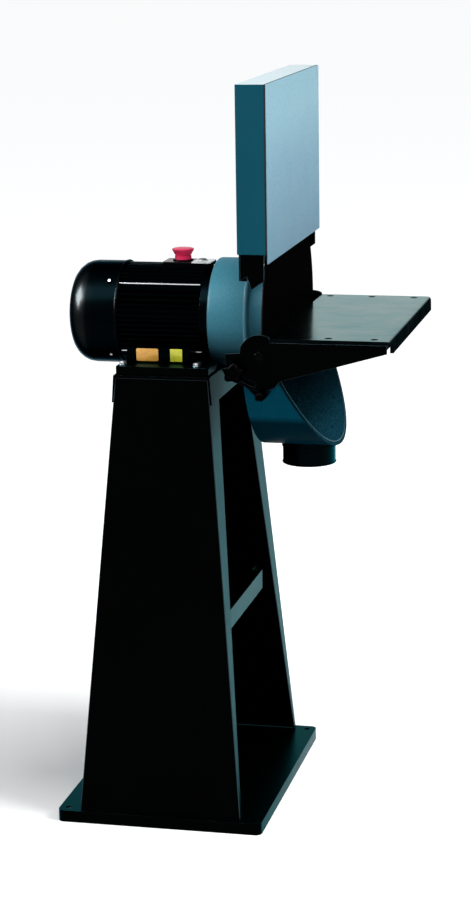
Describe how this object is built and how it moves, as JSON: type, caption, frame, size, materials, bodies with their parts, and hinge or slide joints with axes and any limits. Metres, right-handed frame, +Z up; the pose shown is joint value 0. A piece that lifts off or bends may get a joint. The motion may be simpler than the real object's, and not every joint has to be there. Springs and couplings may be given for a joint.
{
  "type": "disc sander",
  "caption": "Floor-standing disc sander: finned motor on a tapered sheet-metal stand, large vertical disc with dust shroud, tilting table and a sliding guard box.",
  "frame": {"origin": "centre of the bounding box's footprint, on the floor", "axes": "+Z up; +X along the motor shaft towards the sanding disc and table; +Y across the disc, away from the side with the two hand knobs"},
  "size_m": [0.624, 0.5336, 1.3363],
  "materials": {
    "black_paint": "satin gloss",
    "teal_paint": "semi gloss",
    "dark_teal_paint": "hammertone",
    "pale_paint": "semi gloss",
    "table_paint": "smooth gloss",
    "abrasive": "grainy matte",
    "copper_wire": "wound wire",
    "black_plastic": "satin",
    "red_plastic": "glossy",
    "green_plastic": "glossy",
    "switch_grey": "glossy",
    "gasket_rubber": "matte",
    "steel": "machined"
  },
  "bodies": {
    "stand": {"base_plate": "black_paint", "column_shell": "black_paint", "column_crossbar": "black_paint", "column_cap": "black_paint", "motor_cradle": "black_paint", "cradle_bolt_1": "steel", "cradle_bolt_2": "steel", "cradle_bolt_3": "steel", "cradle_bolt_4": "steel", "stator_housing": "black_paint", "stator_core": "steel", "stator_winding": "copper_wire", "bearing_rear": "steel", "bearing_front": "steel", "end_shield_rear": "black_paint", "end_shield_front": "black_paint", "fan_cowl": "black_paint", "cowl_screw_1": "steel", "cowl_screw_2": "steel", "cowl_screw_3": "steel", "cowl_screw_4": "steel", "drum_housing": "teal_paint", "dust_shroud": "teal_paint", "chute_front_plate": "dark_teal_paint", "dust_spigot": "dark_teal_paint", "trunnion_near": "black_paint", "trunnion_far": "black_paint", "pivot_bolt_near": "steel", "pivot_bolt_far": "steel", "guard_channel": "black_paint", "guard_post": "black_paint", "switch_box": "black_plastic", "switch_plate": "switch_grey", "estop_collar": "black_plastic"},
    "disc_drive": {"rotor": "steel", "motor_shaft": "steel", "shaft_key": "steel", "cooling_fan": "black_plastic", "disc_flange": "steel", "backing_plate": "black_paint", "abrasive_disc": "abrasive", "disc_screw": "steel"},
    "table": {"table_top": "table_paint", "table_screw_1": "steel", "table_screw_2": "steel", "table_screw_3": "steel", "table_screw_4": "steel", "table_screw_5": "steel", "table_screw_6": "steel", "table_side_near": "black_paint", "table_side_far": "black_paint"},
    "guard": {"guard_cover": "teal_paint", "guard_gasket": "gasket_rubber", "guard_front_plate": "pale_paint"},
    "tilt_knob_near": {"tilt_knob_near": "black_plastic"},
    "tilt_knob_far": {"tilt_knob_far": "black_plastic"},
    "bracket_knob": {"bracket_knob": "black_plastic"},
    "guard_knob": {"guard_knob": "black_plastic"},
    "estop_mushroom": {"estop_mushroom": "red_plastic"},
    "start_button": {"start_button": "green_plastic"}
  },
  "joints": [
    {"name": "disc_spin", "type": "hinge", "parent": "stand", "child": "disc_drive", "pos_m": [0.074, 0, 0.903], "axis": [1, 0, 0], "continuous": true},
    {"name": "table_tilt", "type": "hinge", "parent": "stand", "child": "table", "pos_m": [0.083, 0, 0.873], "axis": [0, 1, 0], "range_deg": [-15, 45]},
    {"name": "guard_slide", "type": "slide", "parent": "stand", "child": "guard", "axis": [0, 0, 1], "range_m": [-0.12, 0]},
    {"name": "tilt_knob_near_turn", "type": "hinge", "parent": "stand", "child": "tilt_knob_near", "pos_m": [0.03975, -0.255, 0.84597], "axis": [0, -1, 0], "range_deg": [0, 540]},
    {"name": "tilt_knob_far_turn", "type": "hinge", "parent": "stand", "child": "tilt_knob_far", "pos_m": [0.03975, 0.255, 0.84597], "axis": [0, 1, 0], "range_deg": [0, 540]},
    {"name": "bracket_knob_turn", "type": "hinge", "parent": "stand", "child": "bracket_knob", "pos_m": [0.085, -0.255, 0.805], "axis": [0, -1, 0], "range_deg": [0, 540]},
    {"name": "guard_knob_turn", "type": "hinge", "parent": "stand", "child": "guard_knob", "pos_m": [0.031, 0.15, 1.15], "axis": [-1, 0, 0], "range_deg": [0, 540]},
    {"name": "estop_press", "type": "slide", "parent": "stand", "child": "estop_mushroom", "axis": [0, 0, -1], "range_m": [0, 0.005]},
    {"name": "start_press", "type": "slide", "parent": "stand", "child": "start_button", "axis": [0, 0, -1], "range_m": [0, 0.003], "stiffness_N_per_m": 500}
  ]
}
